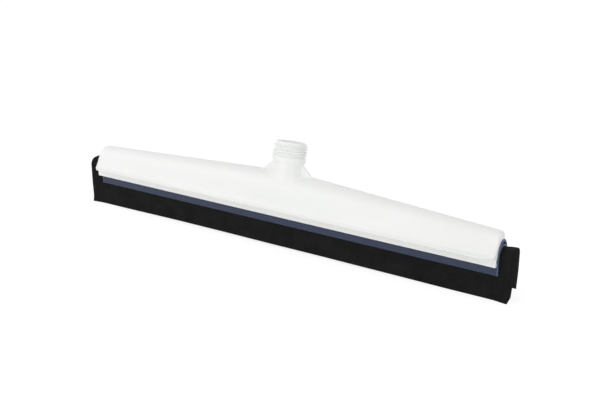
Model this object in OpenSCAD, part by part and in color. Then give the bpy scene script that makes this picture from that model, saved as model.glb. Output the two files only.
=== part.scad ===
// Floor squeegee head: a moulded frame with a threaded neck, and a slide-in cassette
// that grips one folded sheet of cellular rubber as a front and a rear lip.
// Millimetres. X runs along the blade, -Y is the wiping front, +Z is up.
// The origin is where the neck's thread starts, on the neck's axis.

/* [Foam blade] */
// How far the folded rubber sheet runs out past the frame at each end
foam_overhang = 12.5; // [4:0.5:25]
// Thickness of the rubber sheet
sheet_t = 8.3; // [6:0.1:10]
// Gap left inside the fold, between the two layers
fold_gap = 0.8; // [0.6:0.1:2]
// Height of the fold's top above the tip of the front lip
fold_top = 50; // [44:0.5:60]
// How far each lip bends outwards between the cassette's mouth and its tip
lip_splay = 3.4; // [1:0.1:6]
// How much shorter the rear lip is than the front one
rear_lip_rise = 7; // [0:0.5:12]
// Angle of the bevel that is cut on each lip's tip
lip_bevel = 17; // [0:1:25]

/* [Cassette holder] */
// How much shorter the extruded holder is than the frame
holder_trim = 2.5; // [0:0.1:4]
// How far the holder sits off the frame's middle, towards the end that it slides out of
holder_shift = 1.6; // [0:0.1:2]
// Wall of the holder
holder_wall = 1.7; // [1.2:0.1:2.5]
// Height of the holder's lower edge above the tip of the front lip
mouth_z = 24; // [18:0.5:30]
// Radius of the bead on each lower edge that pinches the rubber
bead_r = 1.1; // [0.6:0.1:1.6]
// Half width of the flat on top of the holder's ridge
ridge_half = 3.2; // [3:0.1:6]
// Height of the ridge's top above the tip of the front lip
ridge_z = 56.2; // [55:0.2:59]
// Height of the middle of the side rails above the tip of the front lip
rail_z = 38.6; // [37.5:0.1:39.5]
// Height of each side rail's face
rail_h = 2.2; // [1.5:0.1:2.6]
// How far each side rail stands out
rail_reach = 1.2; // [0.8:0.1:1.6]
// Clearance between the rubber and the holder
foam_clear = 0.2; // [0.1:0.05:0.4]

/* [Frame] */
// Length of the moulded frame
frame_length = 477; // [280:1:680]
// Wall of the skirt on either side of the holder
skirt_wall = 3.1; // [2:0.1:4.5]
// Height of the skirt's lower edge above the tip of the front lip
skirt_z = 33.1; // [30:0.1:36]
// Height of the brim's lower edge above the tip of the front lip
brim_z = 42; // [41.2:0.2:46]
// Draft of the brim's lower face, from the skirt out to its edge
brim_draft = 0.5; // [0.2:0.1:1.5]
// How far the brim stands out from the skirt
brim_reach = 8.2; // [4:0.2:9]
// Thickness of the brim at its edge
brim_t = 2.2; // [1.6:0.1:3]
// Corner radius of the brim, seen from above
brim_corner = 6.5; // [2:0.5:8]
// Height of the spine at the ends
spine_end_z = 64.8; // [63:0.2:70]
// Height of the spine at the neck
spine_mid_z = 75.5; // [70:0.5:84]
// Half width that the dome's front curve is drawn out to at the ends
dome_end = 12.5; // [12:0.1:16]
// Half width that the dome's rear curve is drawn out to at the ends
dome_rear_end = 9; // [9:0.1:14]
// Half width that the dome's curves are drawn out to at the neck
dome_mid = 20; // [16:0.2:22]
// Radius of the ends' top corners, seen from the front
end_round = 7; // [5:0.5:14]
// How far the ends are set back at the rear edge, seen from above
end_back = 7; // [0:0.5:12]
// Sliding clearance around the holder
slide_clear = 0.3; // [0.2:0.05:0.5]

/* [Neck] */
// Angle that the neck leans back from upright
neck_tilt = 15; // [0:0.5:25]
// Height at which the neck's axis crosses the middle of the head
neck_root_z = 45; // [42:0.5:48]
// Radius of the lower neck
neck_r = 15; // [13:0.1:16]
// Distance along the axis from the crossing to the collar
collar_start = 41.7; // [38:0.1:50]
// Radius of the collar under the thread
collar_r = 17; // [16.5:0.1:20]
// Length of the collar
collar_l = 5.4; // [3:0.1:9]
// Radius of the thread's core
thread_core_r = 15.7; // [14:0.1:16.2]
// Length of the threaded end
thread_l = 15.4; // [10:0.1:30]
// Edge break at the rim of the neck
rim_break = 0.8; // [0.3:0.1:1.5]
// Radius of the cored hole in the neck
core_r = 12; // [8:0.1:12.5]
// Material left between the cored hole and the holder's channel
core_floor = 3; // [2:0.2:6]
// Thickness of the webs beside the neck
web_t = 3; // [2:0.1:5]
// How far the webs run out from the neck's axis along the spine
web_reach = 31.5; // [24:0.5:60]
// Drop of each web from the collar to the spine
web_drop = 13.5; // [8:0.5:18]

/* [Hidden] */
$fn = 64;

// Cassette sizes
foam_length = frame_length + 2 * foam_overhang;
holder_length = frame_length - holder_trim;
fold_half = sheet_t + fold_gap / 2;
fold_z = fold_top - fold_half;
holder_in = fold_half + foam_clear;
holder_half = holder_in + holder_wall;
// Rise and draw of the ridge, and the radius of the two arcs that lead in to its flat
ridge_rise = ridge_z - fold_z;
ridge_draw = holder_half - ridge_half;
arch_r = (ridge_rise * ridge_rise + ridge_draw * ridge_draw) / (2 * ridge_draw);
// Radius of the arc that bends a lip outwards below the mouth
lip_r = (mouth_z * mouth_z + lip_splay * lip_splay) / (2 * lip_splay);

// Frame sizes
skirt_half = holder_half + slide_clear + skirt_wall;
brim_half = skirt_half + brim_reach;
brim_top = brim_z + brim_t;
spine_lean = (spine_mid_z - neck_root_z) * tan(neck_tilt);

// Neck sizes, along its axis from the crossing point
thread_start = collar_start + collar_l;
neck_top = thread_start + thread_l;
core_low_z = ridge_z + slide_clear + core_floor + core_r * sin(neck_tilt);
core_start = (core_low_z - neck_root_z) / cos(neck_tilt);
neck_start = neck_r * tan(neck_tilt);
origin_y = thread_start * sin(neck_tilt);
origin_z = neck_root_z + thread_start * cos(neck_tilt);

// Loft resolution: spans on each side of the neck, and steps up each side of a section
loft_spans = 8;
side_steps = 14;
edge_steps = 4;
// Allowance by which cutters run past what they cut
over = 1;

// From blade heights, measured from the front lip's tip, to the part's own origin
module placed() {
    translate([0, -origin_y, -origin_z]) children();
}

// A profile drawn in Y and Z, pulled along X and centred
module along_x(length) {
    rotate([90, 0, 90]) linear_extrude(length, center = true) children();
}

// Neck coordinates: Z runs up the neck's axis from the crossing point
module on_neck() {
    translate([0, 0, neck_root_z]) rotate([-neck_tilt, 0, 0]) children();
}

function bezier(a, b, c, d, t) =
    a * pow(1 - t, 3) + b * 3 * t * pow(1 - t, 2) + c * 3 * t * t * (1 - t) + d * t * t * t;

// One side of the frame's section, from the skirt's foot to just below the apex.
// s is -1 for the front and 1 for the rear, u is 0 at the neck and 1 at the ends.
function section_side(s, u) =
    let (
        apex = [spine_lean * (1 - u), spine_mid_z + (spine_end_z - spine_mid_z) * u],
        dome_tip = s < 0 ? dome_end : dome_rear_end,
        dome = dome_mid + (dome_tip - dome_mid) * u,
        edge_r = brim_t / 2,
        edge = [s * (brim_half - edge_r), brim_z + edge_r],
        start = [edge.x, brim_top],
        draw_in = [s * (skirt_half - edge_r), brim_top],
        draw_out = [s * dome + apex.x * (s + 1) / 2, apex.y]
    )
    concat(
        [[s * skirt_half, skirt_z], [s * skirt_half, brim_z - brim_draft]],
        [for (i = [0 : edge_steps])
            let (a = -90 + 180 * i / edge_steps)
            edge + edge_r * [s * cos(a), sin(a)]],
        [for (i = [1 : side_steps]) bezier(start, draw_in, draw_out, apex, i / (side_steps + 0.5))]
    );

function reversed(list) = [for (i = [len(list) - 1 : -1 : 0]) list[i]];

// Whole section, front foot over the apex to the rear foot
function section(u) =
    let (apex = [spine_lean * (1 - u), spine_mid_z + (spine_end_z - spine_mid_z) * u])
    concat(section_side(-1, u), [apex], reversed(section_side(1, u)));

// The frame's outer skin, lofted through sections along X
module frame_loft() {
    stations = [for (i = [-loft_spans : loft_spans]) i / loft_spans];
    rings = [for (k = stations)
        [for (p = section(abs(k))) [k * frame_length / 2, p.x, p.y]]];
    n = len(rings[0]);
    m = len(rings);
    points = [for (r = rings) each r];
    skin = [for (j = [0 : m - 2]) for (i = [0 : n - 1])
        let (a = j * n + i, b = j * n + (i + 1) % n)
        each [[a, b, b + n], [a, b + n, a + n]]];
    // Each end is closed by strips between a front point and the rear point opposite it
    last = (m - 1) * n;
    apex = (n - 1) / 2;
    strips = [for (i = [0 : apex - 2])
        let (f = i, g = i + 1, k = n - 2 - i, r = n - 1 - i)
        each [[f, k, g], [f, r, k], [last + f, last + g, last + k], [last + f, last + k, last + r]]];
    tops = [[apex - 1, apex + 1, apex], [last + apex - 1, last + apex, last + apex + 1]];
    polyhedron(points, concat(skin, strips, tops), convexity = 6);
}

// Plan of the frame: the brim's front corners are rounded, and the ends run back to the rear
module frame_plan() {
    corner = [frame_length / 2 - brim_corner, brim_half - brim_corner];
    rear = [frame_length / 2 - end_back, brim_half];
    translate([-corner.x, -brim_half]) square([2 * corner.x, brim_half]);
    translate([-frame_length / 2, -corner.y]) square([frame_length, corner.y]);
    for (x = [-1, 1]) translate([x * corner.x, -corner.y]) circle(brim_corner);
    polygon([[-frame_length / 2, 0], [frame_length / 2, 0], rear, [-rear.x, rear.y]]);
}

// Front view of the frame: upright ends with rounded top corners, whose arcs meet the spine's slope
module frame_front() {
    corner = [frame_length / 2 - end_round, spine_end_z + over - end_round];
    translate([-frame_length / 2, skirt_z - over]) square([frame_length, corner.y - skirt_z + over]);
    translate([-corner.x, skirt_z]) square([2 * corner.x, spine_mid_z + over - skirt_z]);
    for (x = [-1, 1]) translate([x * corner.x, corner.y]) circle(end_round);
}

module frame_body() {
    intersection() {
        frame_loft();
        translate([0, 0, skirt_z - over]) linear_extrude(spine_mid_z - skirt_z + 2 * over) frame_plan();
        rotate([90, 0, 0]) linear_extrude(2 * brim_half + 2 * over, center = true) frame_front();
    }
}

// Pointed arch over the fold with a flat top, grown by a clearance
module holder_arch(grow) {
    half = holder_half + grow;
    intersection() {
        translate([holder_half - arch_r, fold_z]) circle(arch_r + grow);
        translate([arch_r - holder_half, fold_z]) circle(arch_r + grow);
        translate([-half, fold_z]) square([2 * half, ridge_rise + grow]);
    }
}

// Outer profile of the holder with its side rails, grown by a clearance
module holder_outline(grow) {
    half = holder_half + grow;
    rail = rail_h + 2 * grow;
    translate([-half, mouth_z]) square([2 * half, fold_z - mouth_z]);
    translate([-half - rail_reach, rail_z - rail / 2]) square([2 * (half + rail_reach), rail]);
    holder_arch(grow);
}

// Inward beads on the holder's lower edges, grown by a clearance
module mouth_beads(grow) {
    for (y = [-1, 1])
        translate([y * holder_in, mouth_z + bead_r]) circle(bead_r + grow);
}

// Lower neck, collar, thread core and rim as one turned profile
module neck_turned() {
    rotate_extrude() polygon([
        [0, neck_start],
        [neck_r, neck_start],
        [neck_r, collar_start],
        [collar_r, collar_start],
        [collar_r, thread_start],
        [thread_core_r, thread_start],
        [thread_core_r, neck_top - rim_break],
        [thread_core_r - rim_break, neck_top],
        [0, neck_top]
    ]);
}

// Thin webs that tie the neck to the spine on both sides
module neck_webs() {
    rotate([90, 0, 0]) linear_extrude(web_t, center = true) for (x = [-1, 1]) polygon([
        [0, collar_start],
        [x * collar_r, collar_start],
        [x * web_reach, collar_start - web_drop],
        [x * web_reach, core_start],
        [0, core_start]
    ]);
}

module frame() {
    color("whitesmoke") placed() difference() {
        union() {
            frame_body();
            on_neck() neck_turned();
            on_neck() neck_webs();
        }
        along_x(frame_length + 2 * over) holder_outline(slide_clear);
        on_neck() translate([0, 0, core_start]) cylinder(h = neck_top, r = core_r);
    }
}

// Hollow between the fold's crown and the ridge
module ridge_hollow() {
    difference() {
        holder_arch(-holder_wall);
        translate([0, fold_z]) circle(holder_in + holder_wall);
    }
}

module cassette_holder() {
    color("steelblue") placed() translate([holder_shift, 0, 0]) along_x(holder_length) union() {
        difference() {
            holder_outline(0);
            translate([0, fold_z]) circle(holder_in);
            translate([-holder_in, mouth_z - over]) square([2 * holder_in, fold_z - mouth_z + over]);
            ridge_hollow();
        }
        intersection() {
            mouth_beads(0);
            translate([-holder_half, mouth_z]) square([2 * holder_half, 2 * bead_r]);
        }
    }
}

// One lip below the mouth, on the front: a bent strip whose tip is cut to a bevel
module lip(rise) {
    arc_y = -fold_half - lip_r;
    tip_y = arc_y + sqrt(lip_r * lip_r - pow(mouth_z - rise, 2));
    intersection() {
        translate([arc_y, mouth_z]) difference() {
            circle(lip_r + sheet_t, $fn = 360);
            circle(lip_r, $fn = 360);
        }
        translate([tip_y, rise]) rotate(lip_bevel) translate([-sheet_t, 0])
            square([4 * sheet_t, 2 * mouth_z]);
        translate([-fold_half - 2 * lip_splay, 0]) square([2 * fold_half, mouth_z]);
    }
}

module foam_profile() {
    difference() {
        union() {
            translate([0, fold_z]) circle(fold_half);
            translate([-fold_half, mouth_z]) square([2 * fold_half, fold_z - mouth_z]);
        }
        translate([0, fold_z]) circle(fold_gap / 2);
        translate([-fold_gap / 2, mouth_z - over]) square([fold_gap, fold_z - mouth_z + over]);
    }
    lip(0);
    mirror([1, 0]) lip(rear_lip_rise);
}

module foam_blade() {
    color("dimgray") placed() difference() {
        along_x(foam_length) foam_profile();
        translate([holder_shift, 0, 0]) along_x(holder_length + 2 * foam_clear) mouth_beads(foam_clear);
    }
}

frame();
cassette_holder();
foam_blade();
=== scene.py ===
import math

import bmesh
import bpy
import numpy as np
from mathutils import Matrix, Vector
from mathutils.bvhtree import BVHTree
from mathutils.geometry import tessellate_polygon


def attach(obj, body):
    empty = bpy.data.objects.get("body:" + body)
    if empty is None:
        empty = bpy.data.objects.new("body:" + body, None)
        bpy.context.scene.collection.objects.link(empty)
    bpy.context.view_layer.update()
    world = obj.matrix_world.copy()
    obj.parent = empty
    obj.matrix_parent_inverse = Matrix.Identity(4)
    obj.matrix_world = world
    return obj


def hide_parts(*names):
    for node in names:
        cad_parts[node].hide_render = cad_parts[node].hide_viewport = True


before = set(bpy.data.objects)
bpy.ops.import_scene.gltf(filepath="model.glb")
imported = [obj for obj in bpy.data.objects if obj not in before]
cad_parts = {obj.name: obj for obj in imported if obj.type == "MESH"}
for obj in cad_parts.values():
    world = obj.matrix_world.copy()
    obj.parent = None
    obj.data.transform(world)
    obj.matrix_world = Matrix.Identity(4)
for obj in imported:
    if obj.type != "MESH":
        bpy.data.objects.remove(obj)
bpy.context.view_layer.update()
scene = bpy.context.scene
scene.view_settings.view_transform = "Standard"

mm = 0.001  # sizes are written in millimetres, and Blender's are metres
tiny = 1e-9  # stands in for a length of nothing in a division

# Heights count from the tip of the front lip. Lengths along the neck count from rootZ,
# where its axis crosses the middle of the head. The part's origin is where the thread starts.
neck = {
    "tilt": 15, "rootZ": 45, "r": 15, "collarStart": 41.7, "collarR": 17, "collarL": 5.4,
    "coreR": 15.7, "threadL": 15.4, "rimBreak": 1.0, "rimTurns": (60, 30, 0), "edgeBreak": 0.35,
    "buriedR": 13.2, "buriedStart": 18, "buriedFoot": 17,  # the lower end, inside the dome
    "axisR": 0.01, "turnSteps": 144,
}
threadStart = neck["collarStart"] + neck["collarL"]
neckTop = threadStart + neck["threadL"]
leanSin = math.sin(math.radians(neck["tilt"]))
leanCos = math.cos(math.radians(neck["tilt"]))
origin = np.array([0, threadStart * leanSin, neck["rootZ"] + threadStart * leanCos])


def toFrame(points):  # from millimetres above the lip's tip to metres from the part's origin
    return (np.asarray(points, float) - origin) * mm


def bearing(azimuth, elevation):  # unit vector away from the object, with azimuth 0 in front
    az, el = math.radians(azimuth), math.radians(elevation)
    return Vector((math.sin(az) * math.cos(el), -math.cos(az) * math.cos(el), math.sin(el)))


def addObject(name, data):
    thing = bpy.data.objects.new(name, data)
    scene.collection.objects.link(thing)
    return thing


# camera, at the photograph's viewing angle
viewpoint = {"azimuth": 31.70, "elevation": 20.78, "roll": 0.20, "lens": 62.654, "sensor": 36,
             "distance": 1059.63, "target": (20.29, 0, 51.07), "clip": (0.01, 50)}


def placeCamera():
    v = viewpoint
    back = bearing(v["azimuth"], v["elevation"])
    right = bearing(v["azimuth"] + 90, 0)
    up = back.cross(right)
    roll = math.radians(v["roll"])
    turnedRight = right * math.cos(roll) + up * math.sin(roll)
    turnedUp = up * math.cos(roll) - right * math.sin(roll)
    eye = Vector(toFrame(v["target"])) + back * v["distance"] * mm
    data = bpy.data.cameras.new("photoCamera")
    data.lens, data.sensor_width = v["lens"], v["sensor"]
    data.clip_start, data.clip_end = v["clip"]
    camera = addObject("photoCamera", data)
    turn = Matrix((turnedRight, turnedUp, back)).transposed().to_4x4()
    camera.matrix_world = Matrix.Translation(eye) @ turn
    scene.camera = camera


placeCamera()
print("camera placed")


def hexToLinear(text):
    parts = [int(text[i:i + 2], 16) / 255 for i in (1, 3, 5)]
    return tuple(c / 12.92 if c <= 0.04045 else ((c + 0.055) / 1.055) ** 2.4 for c in parts) + (1,)


def addNode(tree, kind, values=None, links=None, **settings):
    node = tree.nodes.new(kind)
    for name, value in settings.items():
        setattr(node, name, value)
    for name, value in (values or {}).items():
        node.inputs[name].default_value = value
    for name, source in (links or {}).items():
        tree.links.new(source, node.inputs[name])
    return node


def newMaterial(name, values):
    material = bpy.data.materials.new(name)
    material.use_nodes = True
    tree = material.node_tree
    shader = tree.nodes["Principled BSDF"]
    for socket, value in values.items():
        shader.inputs[socket].default_value = value
    return material, tree, shader


def onObject(tree, along=None):  # the piece's own coordinates, drawn out along X where asked
    place = addNode(tree, "ShaderNodeTexCoord").outputs["Object"]
    if along is None:
        return place
    return addNode(tree, "ShaderNodeMapping", {"Scale": (along, 1, 1)}, {"Vector": place}).outputs[0]


def noiseOf(tree, place, sizeMm, detail):
    values = {"Scale": 1 / (sizeMm * mm), "Detail": detail}
    return addNode(tree, "ShaderNodeTexNoise", values, {"Vector": place}).outputs["Fac"]


def paint(tree, shader, share, low, high):  # base colour between two tones, each with its place
    tone = addNode(tree, "ShaderNodeValToRGB", None, {"Fac": share})
    for element, (place, colour) in zip(tone.color_ramp.elements, (low, high)):
        element.position, element.color = place, hexToLinear(colour)
    tree.links.new(tone.outputs["Color"], shader.inputs["Base Color"])


def relief(tree, shader, height, strength, depthMm):  # surface detail too fine to model
    values = {"Strength": strength, "Distance": depthMm * mm}
    bump = addNode(tree, "ShaderNodeBump", values, {"Height": height})
    tree.links.new(bump.outputs[0], shader.inputs["Normal"])


plasticIor = 1.49

# polypropylene, injection moulded: milky white with a soft sheen, and slow flow marks along the moulding
whiteLook = {
    "light": "#f8faf7", "dark": "#f4f6f3", "tones": (0.3, 0.7), "roughLow": 0.30, "roughHigh": 0.40,
    "flowMm": 38, "flowAlong": 0.35, "flowDetail": 3,
    "grainMm": 1.1, "grainDetail": 2, "grainStrength": 0.12, "grainDepth": 0.05,
    "scatter": 0.5, "scatterMm": 0.3, "scatterTint": (1.0, 1.0, 0.95),
}


def whitePolypropylene():
    look = whiteLook
    material, tree, shader = newMaterial("whitePolypropyleneMoulded", {
        "IOR": plasticIor, "Subsurface Weight": look["scatter"], "Subsurface Radius": look["scatterTint"],
        "Subsurface Scale": look["scatterMm"] * mm})
    flow = noiseOf(tree, onObject(tree, look["flowAlong"]), look["flowMm"], look["flowDetail"])
    darkAt, lightAt = look["tones"]
    paint(tree, shader, flow, (darkAt, look["dark"]), (lightAt, look["light"]))
    ends = {"To Min": look["roughLow"], "To Max": look["roughHigh"]}
    rough = addNode(tree, "ShaderNodeMapRange", ends, {"Value": flow})
    tree.links.new(rough.outputs[0], shader.inputs["Roughness"])
    # the mould's spark grain is about 0.2 mm, drawn coarser here so that it shows
    grain = noiseOf(tree, onObject(tree), look["grainMm"], look["grainDetail"])
    relief(tree, shader, grain, look["grainStrength"], look["grainDepth"])
    return material


# tinted polypropylene, extruded: dark see-through blue over the black rubber, with fine draw lines along it
blueLook = {"colour": "#22355a", "rough": 0.22, "through": 0.35, "lineMm": 0.8, "lineAlong": 0.01,
            "lineDetail": 2, "lineStrength": 0.25, "lineDepth": 0.08}


def bluePolypropylene():
    look = blueLook
    material, tree, shader = newMaterial("bluePolypropyleneExtruded", {
        "Base Color": hexToLinear(look["colour"]), "Roughness": look["rough"], "IOR": plasticIor,
        "Transmission Weight": look["through"]})
    lines = noiseOf(tree, onObject(tree, look["lineAlong"]), look["lineMm"], look["lineDetail"])
    relief(tree, shader, lines, look["lineStrength"], look["lineDepth"])
    return material


# the same extrusion where it was sawn to length: frosted, so it scatters light and looks paler
sawnLook = {"colour": "#566380", "rough": 0.6, "toothMm": 0.9, "toothDetail": 3, "toothStrength": 0.4,
            "toothDepth": 0.1}


def blueSawnEnd():
    look = sawnLook
    material, tree, shader = newMaterial("bluePolypropyleneSawnEnd", {
        "Base Color": hexToLinear(look["colour"]), "Roughness": look["rough"]})
    teeth = noiseOf(tree, onObject(tree), look["toothMm"], look["toothDetail"])
    relief(tree, shader, teeth, look["toothStrength"], look["toothDepth"])
    return material


# cellular rubber, skived from a foamed block: matt black, with fine open cells that speckle the face; the
# speckles are the cells' shade, painted into the colour, over darker patches that vary at random
rubberLook = {
    "shadeAndCloudDark": "#0e0e0f", "face": "#1b1b1c", "tones": (0.45, 1.0), "sheen": 0.12, "rough": 0.82,
    "cellMm": 1.1, "cellShadeShare": 0.55, "cellStrength": 0.6, "cellDepth": 0.3, "cloudMm": 14, "cloudDetail": 4,
}
# cut across, the cells lie open and trap more of the light; that deeper shade is painted in as a darker
# colour
cutLook = {**rubberLook, "shadeAndCloudDark": "#070707", "face": "#0e0e0e", "sheen": 0.05}


def blackCellularRubber(name, look):
    material, tree, shader = newMaterial(name, {
        "Roughness": look["rough"], "Specular IOR Level": look["sheen"]})
    place = onObject(tree)
    # real cells are about 0.3 mm, drawn coarser here so that they show
    size = {"Scale": 1 / (look["cellMm"] * mm)}
    cells = addNode(tree, "ShaderNodeTexVoronoi", size, {"Vector": place}).outputs["Distance"]
    cloud = noiseOf(tree, place, look["cloudMm"], look["cloudDetail"])
    # painted shade: each cell is darkest at its middle, where its open pit lies in shade
    cellShading = addNode(tree, "ShaderNodeMath", {1: look["cellShadeShare"]}, {0: cells}, operation="MULTIPLY")
    both = addNode(tree, "ShaderNodeMath", None, {0: cellShading.outputs[0], 1: cloud}, operation="ADD")
    shadeAndCloudDarkAt, faceAt = look["tones"]
    paint(tree, shader, both.outputs[0], (shadeAndCloudDarkAt, look["shadeAndCloudDark"]), (faceAt, look["face"]))
    relief(tree, shader, cells, look["cellStrength"], look["cellDepth"])
    return material


white = whitePolypropylene()
blue = bluePolypropylene()
sawn = blueSawnEnd()
rubber = blackCellularRubber("blackCellularRubberSkived", rubberLook)
# painted shade: the rubber of the cut ends, darker for the shade in their open cells
cutRubber = blackCellularRubber("blackCellularRubberCutAcross", cutLook)
print("materials made")


def finishMesh(mesh, smoothAngle):  # welds seams, turns faces outward and smooths all but the sharp edges
    work = bmesh.new()
    work.from_mesh(mesh)
    bmesh.ops.remove_doubles(work, verts=work.verts, dist=1e-7)
    bmesh.ops.recalc_face_normals(work, faces=work.faces)
    # on a long hollow section the recalculation can settle on the inside
    if work.calc_volume(signed=True) < 0:
        bmesh.ops.reverse_faces(work, faces=work.faces)
    work.to_mesh(mesh)
    work.free()
    mesh.shade_smooth()
    mesh.set_sharp_from_angle(angle=math.radians(smoothAngle))


def meshPiece(name, points, faces, smoothAngle=32):
    mesh = bpy.data.meshes.new(name)
    mesh.from_pydata([tuple(p) for p in toFrame(points)], [], [tuple(f) for f in faces])
    finishMesh(mesh, smoothAngle)
    return addObject(name, mesh)


def stripBetween(rowA, rowB, points):  # triangles between two rows of point numbers that run the same way
    def spans(row):
        steps = np.linalg.norm(np.diff(points[row], axis=0), axis=1)
        return np.concatenate([[0], np.cumsum(steps)]) / max(steps.sum(), tiny)

    a, b = spans(rowA), spans(rowB)
    i = j = 0
    faces = []
    while i < len(rowA) - 1 or j < len(rowB) - 1:
        if j == len(rowB) - 1 or (i < len(rowA) - 1 and a[i + 1] <= b[j + 1]):
            faces.append((rowA[i], rowA[i + 1], rowB[j]))
            i += 1
        else:
            faces.append((rowA[i], rowB[j + 1], rowB[j]))
            j += 1
    return faces


def tube(rings):  # quads between closed rings of equal length, as point numbers
    n = len(rings[0])
    faces = []
    for k in range(len(rings) - 1):
        a, b = k * n, (k + 1) * n
        faces += [(a + i, a + (i + 1) % n, b + (i + 1) % n, b + i) for i in range(n)]
    return faces


def closedTube(rings):  # the same, with a face over each end
    n = len(rings[0])
    last = (len(rings) - 1) * n
    return tube(rings) + [tuple(range(n)), tuple(range(last, last + n))]


def inwardOf(loop):  # unit vectors into a closed outline of y and z
    along = np.roll(loop, -1, 0) - np.roll(loop, 1, 0)
    inward = np.stack([along[:, 1], -along[:, 0]], 1)
    return inward / np.maximum(np.linalg.norm(inward, axis=1), tiny)[:, None]


def mirrored(side):  # the other half of an outline that is the same on both sides
    return [(-y, z) for y, z in reversed(side)]


def arc(centre, radius, start, stop, steps):
    angles = np.radians(np.linspace(start, stop, steps))
    return [(centre[0] + radius * math.cos(a), centre[1] + radius * math.sin(a)) for a in angles]


def cubic(a, b, c, d, t):
    t = np.asarray(t, float)[:, None]
    a, b, c, d = (np.asarray(p, float)[None] for p in (a, b, c, d))
    return a * (1 - t) ** 3 + b * 3 * t * (1 - t) ** 2 + c * 3 * t * t * (1 - t) + d * t ** 3


# a curve of the fifth degree that leaves a straight wall and lands on a curved one with no crease
def flowCurve(a, aPace, b, bPace, bBend, steps):
    t = np.linspace(0, 1, steps)[:, None]
    a, aPace, b, bPace, bBend = (np.asarray(p, float)[None] for p in (a, aPace, b, bPace, bBend))
    return (a * (1 - 10 * t ** 3 + 15 * t ** 4 - 6 * t ** 5)
            + aPace * (t - 6 * t ** 3 + 8 * t ** 4 - 3 * t ** 5)
            + bBend * (t ** 3 / 2 - t ** 4 + t ** 5 / 2)
            + bPace * (7 * t ** 4 - 4 * t ** 3 - 3 * t ** 5)
            + b * (10 * t ** 3 - 15 * t ** 4 + 6 * t ** 5))


def easeStep(value, low, high):
    t = np.clip((np.asarray(value, float) - low) / (high - low), 0, 1)
    return t * t * (3 - 2 * t)


def madeBy(piece):  # the mesh that a piece's modifiers make
    bpy.context.view_layer.update()
    return bpy.data.meshes.new_from_object(piece.evaluated_get(bpy.context.evaluated_depsgraph_get()))


def bakeStep(piece, step):  # keeps what a modifier makes as the piece's own mesh
    made = madeBy(piece)
    piece.modifiers.remove(step)
    piece.data = made


def combine(target, cutter, operation):
    step = target.modifiers.new("combine", "BOOLEAN")
    step.operation, step.object, step.solver = operation, cutter, "MANIFOLD"
    bakeStep(target, step)
    bpy.data.objects.remove(cutter)


# frame moulding: a C-shaped section that is lofted from the neck out to both ends
moulding = {
    "length": 477, "offset": -0.8,
    "skirtHalf": 14, "skirtZ": 33.1, "skirtMargin": 2, "footR": 0.5, "underR": 0.7,
    "brimZ": 42, "brimDraft": 0.5, "brimHalf": 22.2, "brimT": 2.2, "brimCorner": 7.5,
    "spineEndZ": 64.8, "spineMidZ": 75.5, "domeEnd": 12.5, "domeRearEnd": 9, "domeMid": 20,
    "endRound": 7, "endRise": 1, "endBack": 7, "endEdgeR": 0.8, "domeEdgeR": 2.0, "apexEdgeR": 0.5,
    "softenOver": 12, "crispOver": 18,  # steps up the dome over which the end's edge changes its radius
    "edgeTurns": (15, 30, 45, 60, 75, 90), "smallSteps": 4, "brimSteps": 9, "domeSteps": 44,
    "lengthSteps": 96, "shares": 200, "midBlend": 0.13, "smoothAngle": 34, "areaWeight": 50,
}
channel = {"half": 10.9, "foldZ": 41.3, "grooveHalf": 12.1, "grooveLow": 37.2, "grooveHigh": 40.0,
           "archHalf": 10.6, "archR": 18.70, "archSteps": 14, "ridgeZ": 56.2, "roofHalf": 2, "clear": 0.3}
halfLength = moulding["length"] / 2


# 0 at the neck and 1 at the ends, eased across the middle so that no crease shows there
def sectionShare(x):
    k, w = abs(x) / halfLength, moulding["midBlend"]
    return k if k > w else (k * k / w + w) / 2


def outerSide(s, u):  # from the skirt's foot up to the apex; s is -1 in front and 1 behind
    m = moulding
    lean = (m["spineMidZ"] - neck["rootZ"]) * math.tan(math.radians(neck["tilt"]))
    apex = np.array([lean * (1 - u), m["spineMidZ"] + (m["spineEndZ"] - m["spineMidZ"]) * u])
    domeTip = m["domeEnd"] if s < 0 else m["domeRearEnd"]
    dome = m["domeMid"] + (domeTip - m["domeMid"]) * u
    edgeR, topZ = m["brimT"] / 2, m["brimZ"] + m["brimT"]
    underZ = m["brimZ"] - m["brimDraft"]
    few = m["smallSteps"]
    wall = np.linspace(m["skirtZ"] + m["skirtMargin"], underZ - m["skirtMargin"], few)
    side = arc((m["skirtHalf"] - m["footR"], m["skirtZ"] + m["footR"]), m["footR"], -90, 0, few)
    side += [(m["skirtHalf"], z) for z in wall]
    side += arc((m["skirtHalf"] + m["underR"], underZ - m["underR"]), m["underR"], 180, 90, few)
    side += arc((m["brimHalf"] - edgeR, m["brimZ"] + edgeR), edgeR, -90, 90, m["brimSteps"])
    side = [(s * y, z) for y, z in side]
    rise = cubic((s * (m["brimHalf"] - edgeR), topZ), (s * (m["skirtHalf"] - edgeR), topZ),
                 (s * dome + (apex[0] if s > 0 else 0), apex[1]), apex,
                 np.arange(1, m["domeSteps"] + 1) / m["domeSteps"])
    return np.concatenate([side, rise])


def innerSide(s):  # from the channel's foot up to the middle of its roof
    c = channel
    foot = moulding["footR"]
    side = arc((c["half"] + foot, moulding["skirtZ"] + foot), foot, -90, -180, moulding["smallSteps"])
    side += [(c["half"], c["grooveLow"]), (c["grooveHalf"], c["grooveLow"]),
             (c["grooveHalf"], c["grooveHigh"]), (c["half"], c["grooveHigh"])]
    roofZ = c["ridgeZ"] + c["clear"]
    radius = c["archR"] + c["clear"]
    top = math.degrees(math.asin((roofZ - c["foldZ"]) / radius))
    side += arc((c["archHalf"] - c["archR"], c["foldZ"]), radius, 0, top, c["archSteps"])
    side += [(c["roofHalf"], roofZ), (0, roofZ)]
    return np.array([(s * y, z) for y, z in side])


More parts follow.
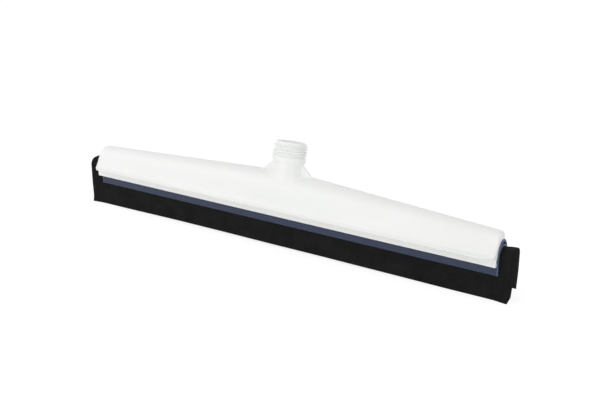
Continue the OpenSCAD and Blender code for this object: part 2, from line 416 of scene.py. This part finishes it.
def endX(y, z):  # how far out the moulding's end lies at a point of its section
    m = moulding
    over = np.clip(z - (m["spineEndZ"] + m["endRise"] - m["endRound"]), 0, m["endRound"])
    topBack = m["endRound"] - np.sqrt(m["endRound"] ** 2 - over ** 2)
    out = np.clip(-y - (m["brimHalf"] - m["brimCorner"]), 0, m["brimCorner"])
    cornerBack = m["brimCorner"] - np.sqrt(m["brimCorner"] ** 2 - out ** 2)
    rearBack = m["endBack"] * (np.clip(y, 0, None) / m["brimHalf"]) ** 2
    return halfLength - np.maximum(np.maximum(topBack, cornerBack), rearBack)


innerFront, innerRear = innerSide(-1), innerSide(1)
outerCount, innerCount = len(outerSide(-1, 0)), len(innerFront)
skirtCount = outerCount - moulding["domeSteps"]  # points of the skirt and the brim's edge


def sectionLoop(u):  # front foot, apex, rear foot, then back through the channel
    return np.concatenate([outerSide(-1, u), outerSide(1, u)[-2::-1], innerRear, innerFront[-2::-1]])


def endWall(points, start, n):  # closes one end between the shell and the channel
    apex = start + outerCount - 1
    rearFoot = start + 2 * outerCount - 2
    roof = rearFoot + innerCount
    front = list(range(start, apex + 1))
    rear = list(range(rearFoot, apex - 1, -1))
    rearIn = list(range(rearFoot + 1, roof + 1))
    frontIn = list(range(start + n - 1, roof - 1, -1))
    faces = []
    for outer, inner in ((front, frontIn), (rear, rearIn)):
        # below the rail groove, beside it and above it, so that the wall leaves the groove open
        depth = np.abs(points[inner, 1])
        height = points[outer[:skirtCount], 2]
        corner = int(np.argmax(np.abs(depth - channel["grooveHalf"]) < 1e-6))
        low = int(np.flatnonzero(height < channel["grooveLow"])[-1])
        high = int(np.flatnonzero(height > channel["grooveHigh"])[0])
        faces += stripBetween(outer[:low + 1], inner[:corner], points)
        faces.append((outer[low], inner[corner - 1], inner[corner]))
        faces += stripBetween(outer[low:high + 1], inner[corner:corner + 2], points)
        faces.append((outer[high], inner[corner + 1], inner[corner + 2]))
        faces += stripBetween(outer[high:], inner[corner + 2:], points)
    return faces


def buildMoulding():
    m = moulding
    atEnd = sectionLoop(1)
    reach = endX(atEnd[:, 0], atEnd[:, 1])
    # the end's edge is crisp on the skirt and brim, and softly rounded on the dome
    upDome = np.arange(outerCount) - skirtCount
    soft = easeStep(upDome, 0, m["softenOver"]) * (m["domeEdgeR"] - m["endEdgeR"])
    crisp = easeStep(upDome, m["domeSteps"] - m["crispOver"], m["domeSteps"])
    crisp *= m["domeEdgeR"] - m["apexEdgeR"]
    shellCut = m["endEdgeR"] + soft - crisp
    cut = np.concatenate([shellCut, shellCut[-2::-1], np.zeros(2 * innerCount - 1)])
    loops = [sectionLoop(k) for k in np.linspace(0, 1, m["shares"] + 1)]

    def ringAt(x):  # one ring, each point with its own x
        ring = np.empty((len(x), 3))
        for i, value in enumerate(x):
            share = sectionShare(value) * m["shares"]
            low = min(int(share), m["shares"] - 1)
            a, b = loops[low][i], loops[low + 1][i]
            ring[i] = (value, *(a + (b - a) * (share - low)))
        return ring

    body = [ringAt(f * (reach - cut)) for f in np.linspace(-1, 1, m["lengthSteps"] + 1)]
    edges = []
    for turn in np.radians(m["edgeTurns"]):
        ring = ringAt(reach - cut * (1 - math.sin(turn)))
        ring[:, 1:] += inwardOf(ring[:, 1:]) * (cut * (1 - math.cos(turn)))[:, None]
        edges.append(ring)
    rings = [ring * (-1, 1, 1) for ring in reversed(edges)] + body + edges
    points = np.concatenate(rings)
    # both ends sit slightly further left than the neck's middle would put them
    points[:, 0] += m["offset"] * (points[:, 0] / halfLength) ** 2
    n = len(atEnd)
    faces = tube(rings)
    for start in (0, len(points) - n):
        faces += endWall(points, start, n)
    return points, faces


mouldPoints, mouldFaces = buildMoulding()
frameMoulding = meshPiece("frameMoulding", mouldPoints, mouldFaces)
print("moulding lofted", len(mouldPoints))


# neck: turned about its leaning axis, with a root that flows out on to the dome
root = {"upSide": 6, "upFront": 13, "outSide": 7, "outFront": 5, "pace": 1.8, "probe": 1.5, "sunk": 0.02,
        "under": 0.7, "inside": 1.6, "steps": 22}
# the thread's lower end runs into a small plain stop on the left
threadStop = {"turn": 205, "half": 20, "ease": 5, "rise": 2.2, "top": 2.9, "shoulder": 0.7, "foot": 0.01}
turns = [2 * math.pi * k / neck["turnSteps"] for k in range(neck["turnSteps"])]


def neckPoint(turn, r, s):  # r from the neck's axis and s along it
    return np.array([r * math.cos(turn), r * math.sin(turn) * leanCos + s * leanSin,
                     neck["rootZ"] - r * math.sin(turn) * leanSin + s * leanCos])


def domeSkin():  # the moulding's faces, to find where the neck meets them
    mesh = bpy.data.meshes.new("skinProbe")
    mesh.from_pydata([tuple(p) for p in mouldPoints], [], mouldFaces)
    skin = bmesh.new()
    skin.from_mesh(mesh)
    bmesh.ops.recalc_face_normals(skin, faces=skin.faces)
    tree = BVHTree.FromBMesh(skin)
    skin.free()
    bpy.data.meshes.remove(mesh)
    return tree


def rootColumn(skin, turn):  # from the neck's wall out on to the dome, then in under its skin
    down = Vector((0, -leanSin, -leanCos))
    outward = Vector(neckPoint(turn, 1, 0) - neckPoint(turn, 0, 0))
    hit, normal, _, _ = skin.ray_cast(Vector(neckPoint(turn, neck["r"], neck["collarStart"])), down)
    front = math.sin(turn) ** 2
    up = root["upSide"] + (root["upFront"] - root["upSide"]) * front
    out = root["outSide"] + (root["outFront"] - root["outSide"]) * front
    away = (outward - normal * outward.dot(normal)).normalized()
    foot, footNormal, _, _ = skin.find_nearest(hit + away * out)
    spread = (away - footNormal * away.dot(footNormal)).normalized()
    nearer, further = (skin.find_nearest(foot + spread * d)[0] for d in (-root["probe"], root["probe"]))
    pace = root["pace"] * out
    bend = (nearer + further - foot * 2) * (pace / root["probe"]) ** 2
    curve = flowCurve(hit - down * up, down * up * root["pace"], foot - footNormal * root["sunk"],
                      spread * pace, bend, root["steps"])
    under = foot + spread * root["probe"] - footNormal * root["under"]
    return [*curve, np.array(under), np.array(hit - normal * root["inside"])]


def buildNeck():
    skin = domeSkin()
    rim, edge, core, collar = neck["rimBreak"], neck["edgeBreak"], neck["coreR"], neck["collarR"]
    columns = []
    for turn in turns:
        fromStop = abs((math.degrees(turn) - threadStop["turn"] + 180) % 360 - 180)
        far, near = threadStop["half"] + threadStop["ease"], threadStop["half"] - threadStop["ease"]
        stopR = core + threadStop["rise"] * float(easeStep(fromStop, far, near))
        profile = [(neck["axisR"], neckTop), (core - rim, neckTop)]
        profile += [(core - rim * (1 - math.cos(a)), neckTop - rim * (1 - math.sin(a)))
                    for a in np.radians(neck["rimTurns"])]
        profile += [(core, threadStart + threadStop["top"] + threadStop["shoulder"]),
                    (stopR, threadStart + threadStop["top"]), (stopR, threadStart + threadStop["foot"]),
                    (max(stopR, collar - edge), threadStart), (max(stopR, collar), threadStart - edge),
                    (collar, neck["collarStart"] + edge), (collar - edge, neck["collarStart"]),
                    (neck["r"], neck["collarStart"])]
        column = [neckPoint(turn, r, s) for r, s in profile] + rootColumn(skin, turn)
        column.append(neckPoint(turn, neck["buriedR"], neck["buriedStart"]))
        column.append(neckPoint(turn, neck["axisR"], neck["buriedFoot"]))
        columns.append(column)
    rows = list(np.array(columns).transpose(1, 0, 2))
    return meshPiece("neckBody", np.concatenate(rows), closedTube(rows))


# cored hole in the neck; its eased mouth is given as steps outward and up from the neck's rim
hole = {"r": 12, "start": 18.22, "footEase": 1,
        "mouth": ((0, -2.6), (0.5, -1.4), (1.1, -0.5), (1.9, 0), (2.2, 2))}


def buildHole():
    profile = [(neck["axisR"], hole["start"]), (hole["r"] - hole["footEase"], hole["start"]),
               (hole["r"], hole["start"] + hole["footEase"])]
    profile += [(hole["r"] + out, neckTop + up) for out, up in hole["mouth"]]
    profile.append((neck["axisR"], neckTop + hole["mouth"][-1][1]))
    rows = [np.array([neckPoint(turn, r, s) for turn in turns]) for r, s in profile]
    return meshPiece("holeCutter", np.concatenate(rows), closedTube(rows))


# webs: thin plates with eased edges, from the collar down to the spine
web = {"t": 3, "reach": 31.5, "drop": 13.5, "overlap": 2, "footRise": 4, "ease": 0.5, "easeSteps": 3}


def buildWeb(side):
    inner, footS = neck["r"] - web["overlap"], hole["start"] + web["footRise"]
    outline = [(inner, neck["collarStart"]), (neck["collarR"], neck["collarStart"]),
               (web["reach"], neck["collarStart"] - web["drop"]), (web["reach"], footS), (inner, footS)]
    across = np.array([0, leanCos, -leanSin])
    rings = [[neckPoint(0, side * x, s) + across * y for x, s in outline]
             for y in (-web["t"] / 2, web["t"] / 2)]
    piece = meshPiece("webPlate", np.concatenate(rings), closedTube(rings))
    ease = piece.modifiers.new("ease", "BEVEL")
    ease.width, ease.segments, ease.limit_method = web["ease"] * mm, web["easeSteps"], "ANGLE"
    bakeStep(piece, ease)
    return piece


combine(frameMoulding, buildNeck(), "UNION")
for side in (-1, 1):
    combine(frameMoulding, buildWeb(side), "UNION")
combine(frameMoulding, buildHole(), "DIFFERENCE")
frameMoulding.data.shade_smooth()
frameMoulding.data.set_sharp_from_angle(angle=math.radians(moulding["smoothAngle"]))
# shading weighted by area, so that thin slivers along the joins don't show
byArea = frameMoulding.modifiers.new("byArea", "WEIGHTED_NORMAL")
byArea.mode, byArea.weight, byArea.keep_sharp = "FACE_AREA", moulding["areaWeight"], True
bakeStep(frameMoulding, byArea)
frameMoulding.data.materials.clear()
frameMoulding.data.materials.append(white)
print("neck joined", len(frameMoulding.data.polygons))


# handle thread: one ridge swept along a helix by Geometry Nodes, fading in and out at its ends
thread = {"pitch": 3.1, "turns": 4.4, "height": 1.7, "footWidth": 2.4, "crestWidth": 0.8, "start": -0.4,
          "startTurn": 6, "sink": 0.15, "fade": 0.1, "tip": 0.05, "stepsPerTurn": 72, "smoothAngle": 80}


def threadTree():
    tree = bpy.data.node_groups.new("threadRidge", "GeometryNodeTree")
    face = tree.interface
    lengths = ("Radius", "Turns", "Rise", "Ridge Height", "Foot Width", "Crest Width", "Fade")
    kinds = {**dict.fromkeys(lengths, "Float"), "Steps": "Int", "Finish": "Material"}
    sockets = {name: face.new_socket(name, in_out="INPUT", socket_type="NodeSocket" + kind).identifier
               for name, kind in kinds.items()}
    face.new_socket("Geometry", in_out="OUTPUT", socket_type="NodeSocketGeometry")
    given = addNode(tree, "NodeGroupInput").outputs

    def times(value, factor):
        return addNode(tree, "ShaderNodeMath", {1: factor}, {0: value}, operation="MULTIPLY").outputs[0]

    # reversed, the helix climbs right-handed
    helix = addNode(tree, "GeometryNodeCurveSpiral", {"Reverse": True}, {
        "Resolution": given["Steps"], "Rotations": given["Turns"], "Start Radius": given["Radius"],
        "End Radius": given["Radius"], "Height": given["Rise"]})
    upright = addNode(tree, "GeometryNodeSetCurveNormal", None, {"Curve": helix.outputs[0]}, mode="Z_UP")
    height, foot, crest = given["Ridge Height"], given["Foot Width"], given["Crest Width"]
    corners = ({"Y": times(foot, -0.5)}, {"X": height, "Y": times(crest, -0.5)},
               {"X": height, "Y": times(crest, 0.5)}, {"Y": times(foot, 0.5)})
    profile = addNode(tree, "GeometryNodeCurvePrimitiveQuadrilateral", None, {
        f"Point {i + 1}": addNode(tree, "ShaderNodeCombineXYZ", None, links).outputs[0]
        for i, links in enumerate(corners)}, mode="POINTS")
    share = addNode(tree, "GeometryNodeSplineParameter").outputs["Factor"]
    fromEnd = addNode(tree, "ShaderNodeMath", {0: 1.0}, {1: share}, operation="SUBTRACT")
    nearest = addNode(tree, "ShaderNodeMath", None, {0: share, 1: fromEnd.outputs[0]}, operation="MINIMUM")
    grow = addNode(tree, "ShaderNodeMapRange", {"To Min": thread["tip"], "To Max": 1.0}, {
        "Value": nearest.outputs[0], "From Max": given["Fade"]}, interpolation_type="SMOOTHSTEP")
    swept = addNode(tree, "GeometryNodeCurveToMesh", {"Fill Caps": True}, {
        "Curve": upright.outputs[0], "Profile Curve": profile.outputs[0], "Scale": grow.outputs[0]})
    real = addNode(tree, "GeometryNodeRealizeInstances", None, {0: swept.outputs[0]})
    finished = addNode(tree, "GeometryNodeSetMaterial", None, {
        "Geometry": real.outputs[0], "Material": given["Finish"]})
    addNode(tree, "NodeGroupOutput", None, {0: finished.outputs[0]})
    return tree, sockets


def buildThread():
    t = thread
    tree, sockets = threadTree()
    maker = addObject("threadMaker", bpy.data.meshes.new("threadMaker"))
    step = maker.modifiers.new("ridge", "NODES")
    step.node_group = tree
    values = {
        "Radius": (neck["coreR"] - t["sink"]) * mm, "Turns": t["turns"], "Rise": t["turns"] * t["pitch"] * mm,
        "Ridge Height": (t["height"] + t["sink"]) * mm, "Foot Width": t["footWidth"] * mm,
        "Crest Width": t["crestWidth"] * mm, "Fade": t["fade"], "Steps": t["stepsPerTurn"], "Finish": white,
    }
    for name, value in values.items():
        step[sockets[name]] = value
    mesh = madeBy(maker)
    bpy.data.objects.remove(maker)
    lean = Matrix.Rotation(-math.radians(neck["tilt"]), 4, "X")
    turned = Matrix.Rotation(math.radians(t["startTurn"]), 4, "Z")
    mesh.transform(lean @ Matrix.Translation((0, 0, t["start"] * mm)) @ turned)
    finishMesh(mesh, t["smoothAngle"])
    return addObject("handleThread", mesh)


handleThread = buildThread()
print("thread swept", len(handleThread.data.polygons))


# cassette holder: one extruded profile with side rails, pinch beads and a hollow ridge
holder = {
    "length": 474.5, "shift": 1.6, "half": 10.6, "inside": 8.9, "wall": 1.7, "mouthZ": 24, "beadR": 1.1,
    "railHalf": 11.8, "railLow": 37.5, "railHigh": 39.7, "railEase": 0.1, "archR": 18.70, "ridgeZ": 56.2,
    "foldZ": 41.3, "ease": 0.3, "hollowFrom": 44, "hollowStep": 0.02, "easeSteps": 4, "archSteps": 18,
    "beadSteps": 9, "crownSteps": 30, "wallSteps": 8, "floorSteps": 13, "frosted": 0.8, "frostedInside": 9,
}


def holderProfile():
    h = holder
    archY = h["half"] - h["archR"]
    top = math.degrees(math.asin((h["ridgeZ"] - h["foldZ"]) / h["archR"]))
    right = arc((h["half"] - h["ease"], h["mouthZ"] + h["ease"]), h["ease"], -90, 0, h["easeSteps"])
    right += [(h["half"], h["railLow"]), (h["railHalf"], h["railLow"] + h["railEase"]),
              (h["railHalf"], h["railHigh"] - h["railEase"]), (h["half"], h["railHigh"])]
    right += arc((archY, h["foldZ"]), h["archR"], 0, top, h["archSteps"])
    bead = arc((h["inside"], h["mouthZ"] + h["beadR"]), h["beadR"], 90, 270, h["beadSteps"])
    crown = arc((0, h["foldZ"]), h["inside"], 180, 0, h["crownSteps"])
    outline = right + mirrored(right) + mirrored(bead) + crown + bead
    innerR, roof, crownR = h["archR"] - h["wall"], h["ridgeZ"] - h["wall"], h["inside"] + h["wall"]

    # the hollow runs from the crown's back up to the ridge's inner faces
    def wallAt(z):
        return archY + math.sqrt(innerR ** 2 - (z - h["foldZ"]) ** 2)

    def crownAt(y):
        return h["foldZ"] + math.sqrt(crownR ** 2 - y ** 2)

    heights = np.arange(h["hollowFrom"], roof, h["hollowStep"])
    low = next(z for z in heights if crownAt(min(wallAt(z), crownR)) <= z)
    sides = [(wallAt(z), z) for z in np.linspace(low, roof, h["wallSteps"])]
    floor = [(y, crownAt(y)) for y in np.linspace(-wallAt(low), wallAt(low), h["floorSteps"])[1:-1]]
    return outline, sides + mirrored(sides) + floor


def buildHolder():
    outline, hollow = holderProfile()
    half = holder["length"] / 2
    points, faces, starts = [], [], []
    for loop, frosted in ((outline, holder["frosted"]), (hollow, holder["frostedInside"])):
        start = len(points)
        stations = (-half, frosted - half, half - frosted, half)
        for x in stations:
            points += [(holder["shift"] + x, y, z) for y, z in loop]
        faces += [tuple(start + i for i in f) for f in tube([loop] * len(stations))]
        starts.append((start, len(points) - len(loop)))
    caps = tessellate_polygon([[Vector((y, z, 0)) for y, z in loop] for loop in (outline, hollow)])
    n, m = len(outline), len(hollow)
    for outerStart, hollowStart in zip(*starts):
        number = [outerStart + i for i in range(n)] + [hollowStart + i for i in range(m)]
        faces += [tuple(number[i] for i in t) for t in caps]
    piece = meshPiece("holderExtrusion", points, faces)
    piece.data.materials.append(blue)
    piece.data.materials.append(sawn)
    for face in piece.data.polygons:  # the saw frosts each end and the walls next to it
        face.material_index = 1 if abs(face.center.x / mm - holder["shift"]) > half / 2 else 0
    return piece


holderExtrusion = buildHolder()
print("holder drawn", len(holderExtrusion.data.polygons))


# foam blade: one sheet folded over, held straight in the holder and free to swell past its ends
blade = {
    "length": 502, "sheet": 8.3, "gap": 0.8, "foldZ": 41.3, "mouthZ": 24, "splay": 3.4, "bevel": 17,
    "rearRise": 6, "rearBevel": 27, "grip": 0.6, "gripRise": 1.1, "gripSpread": 1.6,
    "freeFrom": 238.8, "freeLength": 10, "swell": 2.0, "innerSwell": 0.4, "swellHeight": 20, "swellEase": 4,
    "blunt": 0.35, "longer": 0.85, "shorter": 0.15, "leanHeight": 28, "shift": -0.65,
    "bow": 1.0, "bowMiddle": -20, "bowHalf": 215, "droop": 0.9, "droopLead": 4,
    "sway": ((310, 0.25), (170, 0.15), (95, 0.08)), "swaySeed": 7,  # wave lengths and sizes
    "endEdgeR": 0.4, "edgeTurns": (30, 60, 90), "cutFacing": 0.7, "smoothAngle": 40,
    "stations": 120, "tailSteps": 18, "legSteps": 14, "foldSteps": 37, "nookSteps": 7,
    "lipSteps": 16, "lipShare": 0.9, "tipShares": (0.94, 0.97, 0.985, 1.0),
    "tipSearch": 1.02, "searchSteps": 400,
}
lipR = (blade["mouthZ"] ** 2 + blade["splay"] ** 2) / (2 * blade["splay"])
foldHalf = blade["sheet"] + blade["gap"] / 2


def lipSides(rise, bevel):  # outer and inner face of a lip that bends towards +Y, from its mouth to its tip
    b = blade
    centreY = foldHalf + lipR
    tipY = centreY - math.sqrt(lipR ** 2 - (b["mouthZ"] - rise) ** 2)
    slope = math.tan(math.radians(bevel))
    sides = []
    for radius in (lipR, lipR + b["sheet"]):
        # fine steps a little past the tip find where the bevel cuts this face
        tipTurn = math.asin((b["mouthZ"] - rise) / lipR)
        turns = np.linspace(0, tipTurn * b["tipSearch"], b["searchSteps"])
        y, z = centreY - radius * np.cos(turns), b["mouthZ"] - radius * np.sin(turns)
        stop = turns[z >= rise + (tipY - y) * slope - 1e-6][-1]
        upper = np.linspace(0, stop * b["lipShare"], b["lipSteps"])[1:]
        turns = np.concatenate([upper, stop * np.array(b["tipShares"])])
        sides.append(np.stack([centreY - radius * np.cos(turns), b["mouthZ"] - radius * np.sin(turns)], 1))
    return sides


# the sheet's outer face and then its inner one; free is 0 in the holder and 1 at an open end
def bladeLoop(free):
    b = blade
    rearOut, rearIn = lipSides(b["rearRise"], b["rearBevel"])
    frontOut, frontIn = (side * (-1, 1) for side in lipSides(0, b["bevel"]))
    legs = np.linspace(b["mouthZ"], b["foldZ"], b["legSteps"])[:-1]
    power = 2 / (2 + b["blunt"] * free)
    fold = [(foldHalf * np.sign(c) * abs(c) ** power, b["foldZ"] + foldHalf * abs(s) ** power)
            for c, s in arc((0, 0), 1, 180, 0, b["foldSteps"])]
    nook = arc((0, b["foldZ"]), b["gap"] / 2, 0, 180, b["nookSteps"])
    outerLeg, innerLeg = [(-foldHalf, z) for z in legs], [(b["gap"] / 2, z) for z in legs]
    outer = np.array(list(frontOut[::-1]) + outerLeg + fold + mirrored(outerLeg) + list(rearOut), float)
    inner = np.array(list(rearIn[::-1]) + innerLeg + nook + mirrored(innerLeg) + list(frontIn), float)
    # past the holder the fold springs open, and the mouth's pinch fades out
    for side, share in ((outer, 1.0), (inner, b["innerSwell"])):
        near = np.minimum(1, np.abs(side[:, 0]) / b["swellEase"])
        spring = free * b["swell"] * share * easeStep(side[:, 1], 0, b["swellHeight"]) * near
        side[:, 0] += np.sign(side[:, 0]) * spring
    pinch = np.exp(-((outer[:, 1] - b["mouthZ"] - b["gripRise"]) / b["gripSpread"]) ** 2)
    outer[:, 0] -= np.sign(outer[:, 0]) * (1 - free) * b["grip"] * pinch
    return np.concatenate([outer, inner]), len(outer)


def buildBlade():
    b = blade
    half = b["length"] / 2
    inside = b["freeFrom"] - 1
    tail = inside + (half - b["endEdgeR"] - inside) * np.linspace(0, 1, b["tailSteps"])[1:]
    places = np.concatenate([-tail[::-1], np.linspace(-inside, inside, b["stations"]), tail])
    waves = np.random.default_rng(b["swaySeed"]).uniform(0, 2 * math.pi, len(b["sway"]))

    def ringAt(x, inset=0.0):
        free = float(easeStep(abs(x), b["freeFrom"], b["freeFrom"] + b["freeLength"]))
        loop, count = bladeLoop(free)
        if inset:
            loop = loop + inwardOf(loop) * inset * (np.arange(len(loop)) < count)[:, None]
        low = np.clip((b["mouthZ"] - loop[:, 1]) / b["mouthZ"], 0, 1)
        ring = np.column_stack([np.full(len(loop), x), loop])
        # the free lips run a little uneven along their length, as soft sheet does
        sway = sum(math.sin(x * 2 * math.pi / period + wave) * size
                   for (period, size), wave in zip(b["sway"], waves))
        ring[:, 1] += sway * low ** 2
        # past the holder the sheet's cut end leans in and the lips hang, and in the middle they are drawn up
        lean = (b["longer"] + b["shorter"]) * easeStep(loop[:, 1], 0, b["leanHeight"]) - b["shorter"]
        ring[:, 0] += np.sign(x) * free * lean
        ring[:, 0] += b["shift"] * free
        lift = b["bow"] * max(0, 1 - ((x - b["bowMiddle"]) / b["bowHalf"]) ** 2)
        lift -= b["droop"] * float(easeStep(abs(x), b["freeFrom"] - b["droopLead"], half))
        ring[:, 2] += lift * low
        return ring

    rings = [ringAt(x) for x in places]
    for turn in np.radians(b["edgeTurns"]):  # the cut edges are slightly rounded
        x = half - b["endEdgeR"] * (1 - math.sin(turn))
        inset = b["endEdgeR"] * (1 - math.cos(turn))
        rings = [ringAt(-x, inset)] + rings + [ringAt(x, inset)]
    points = np.concatenate(rings)
    n, count = len(rings[0]), bladeLoop(0)[1]
    faces = tube(rings)
    for start in (0, len(points) - n):
        outer = list(range(start, start + count))
        inner = list(range(start + n - 1, start + count - 1, -1))
        faces += stripBetween(outer, inner, points)
    piece = meshPiece("foamBlade", points, faces, b["smoothAngle"])
    piece.data.materials.append(rubber)
    piece.data.materials.append(cutRubber)
    # the cut ends take the rubber with the painted shade of their open cells
    for face in piece.data.polygons:  # the sheet's two cut ends face along X
        face.material_index = 1 if abs(face.normal.x) > b["cutFacing"] else 0
    return piece


foamBlade = buildBlade()
print("blade folded", len(foamBlade.data.polygons))


for piece, body, slot in ((frameMoulding, "head", "white_polypropylene"),
                          (handleThread, "head", "white_polypropylene"),
                          (holderExtrusion, "cassette", "blue_polypropylene"),
                          (foamBlade, "cassette", "black_cellular_rubber")):
    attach(piece, body)
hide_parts("frame")
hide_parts("cassette_holder")
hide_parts("foam_blade")
print("pieces on their bodies")


# floor, backdrop light and lamps, in metres apart from aimZ, the height that the lamps point at
studio = {"floorHalf": 6, "floor": "#ffffff", "shadowShare": 0.35, "backdrop": 1.21, "fill": 0.62, "aimZ": 50}
lamps = [
    {"name": "keySoftbox", "azimuth": -44, "elevation": 45, "distance": 1.3, "size": 1.0, "power": 3.4},
    {"name": "lowSoftbox", "azimuth": -8, "elevation": 6, "distance": 1.6, "size": 0.8, "power": 4.0},
    {"name": "sideSoftbox", "azimuth": 78, "elevation": 24, "distance": 2.0, "size": 1.2, "power": 5.6},
]
plainWhite = (1, 1, 1, 1)


def seenShare(tree):  # 1 for rays that show the stage itself, and 0 for those that only carry its light
    rays = addNode(tree, "ShaderNodeLightPath").outputs
    seen = rays["Is Camera Ray"]
    for name in ("Is Glossy Ray", "Is Transmission Ray"):
        either = addNode(tree, "ShaderNodeMath", None, {0: seen, 1: rays[name]}, operation="MAXIMUM")
        seen = either.outputs[0]
    return seen


def buildFloor():  # at the lowest lip, mostly as bright as the backdrop, so that only a faint shadow shows
    low = min(corner[2] for corner in foamBlade.bound_box)
    s = studio["floorHalf"]
    mesh = bpy.data.meshes.new("studioFloor")
    mesh.from_pydata([(-s, -s, low), (s, -s, low), (s, s, low), (-s, s, low)], [], [(0, 1, 2, 3)])
    floor = addObject("studioFloor", mesh)
    material, tree, shader = newMaterial("paleStudioFloor", {
        "Base Color": hexToLinear(studio["floor"]), "Roughness": 1.0, "Specular IOR Level": 0.0})
    share = addNode(tree, "ShaderNodeMath", {1: 1 - studio["shadowShare"]}, {0: seenShare(tree)},
                    operation="MULTIPLY")
    plain = addNode(tree, "ShaderNodeEmission", {"Color": plainWhite, "Strength": studio["backdrop"]})
    mixed = addNode(tree, "ShaderNodeMixShader", None, {
        0: share.outputs[0], 1: shader.outputs[0], 2: plain.outputs[0]})
    tree.links.new(mixed.outputs[0], tree.nodes["Material Output"].inputs["Surface"])
    mesh.materials.append(material)


def buildWorld():
    world = bpy.data.worlds.new("studioWorld")
    scene.world = world
    world.use_nodes = True
    tree = world.node_tree
    ends = {"To Min": studio["fill"], "To Max": 1.0}
    level = addNode(tree, "ShaderNodeMapRange", ends, {"Value": seenShare(tree)})
    tree.nodes["Background"].inputs["Color"].default_value = plainWhite
    tree.links.new(level.outputs[0], tree.nodes["Background"].inputs["Strength"])


def buildLamps():
    aim = Vector(toFrame((0, 0, studio["aimZ"])))
    for lamp in lamps:
        toLamp = bearing(lamp["azimuth"], lamp["elevation"])
        light = bpy.data.lights.new(lamp["name"], "AREA")
        light.shape, light.size, light.energy = "SQUARE", lamp["size"], lamp["power"]
        softbox = addObject(lamp["name"], light)
        facing = toLamp.to_track_quat("Z", "Y").to_matrix().to_4x4()
        softbox.matrix_world = Matrix.Translation(aim + toLamp * lamp["distance"]) @ facing


buildFloor()
buildWorld()
buildLamps()
print("studio lit")
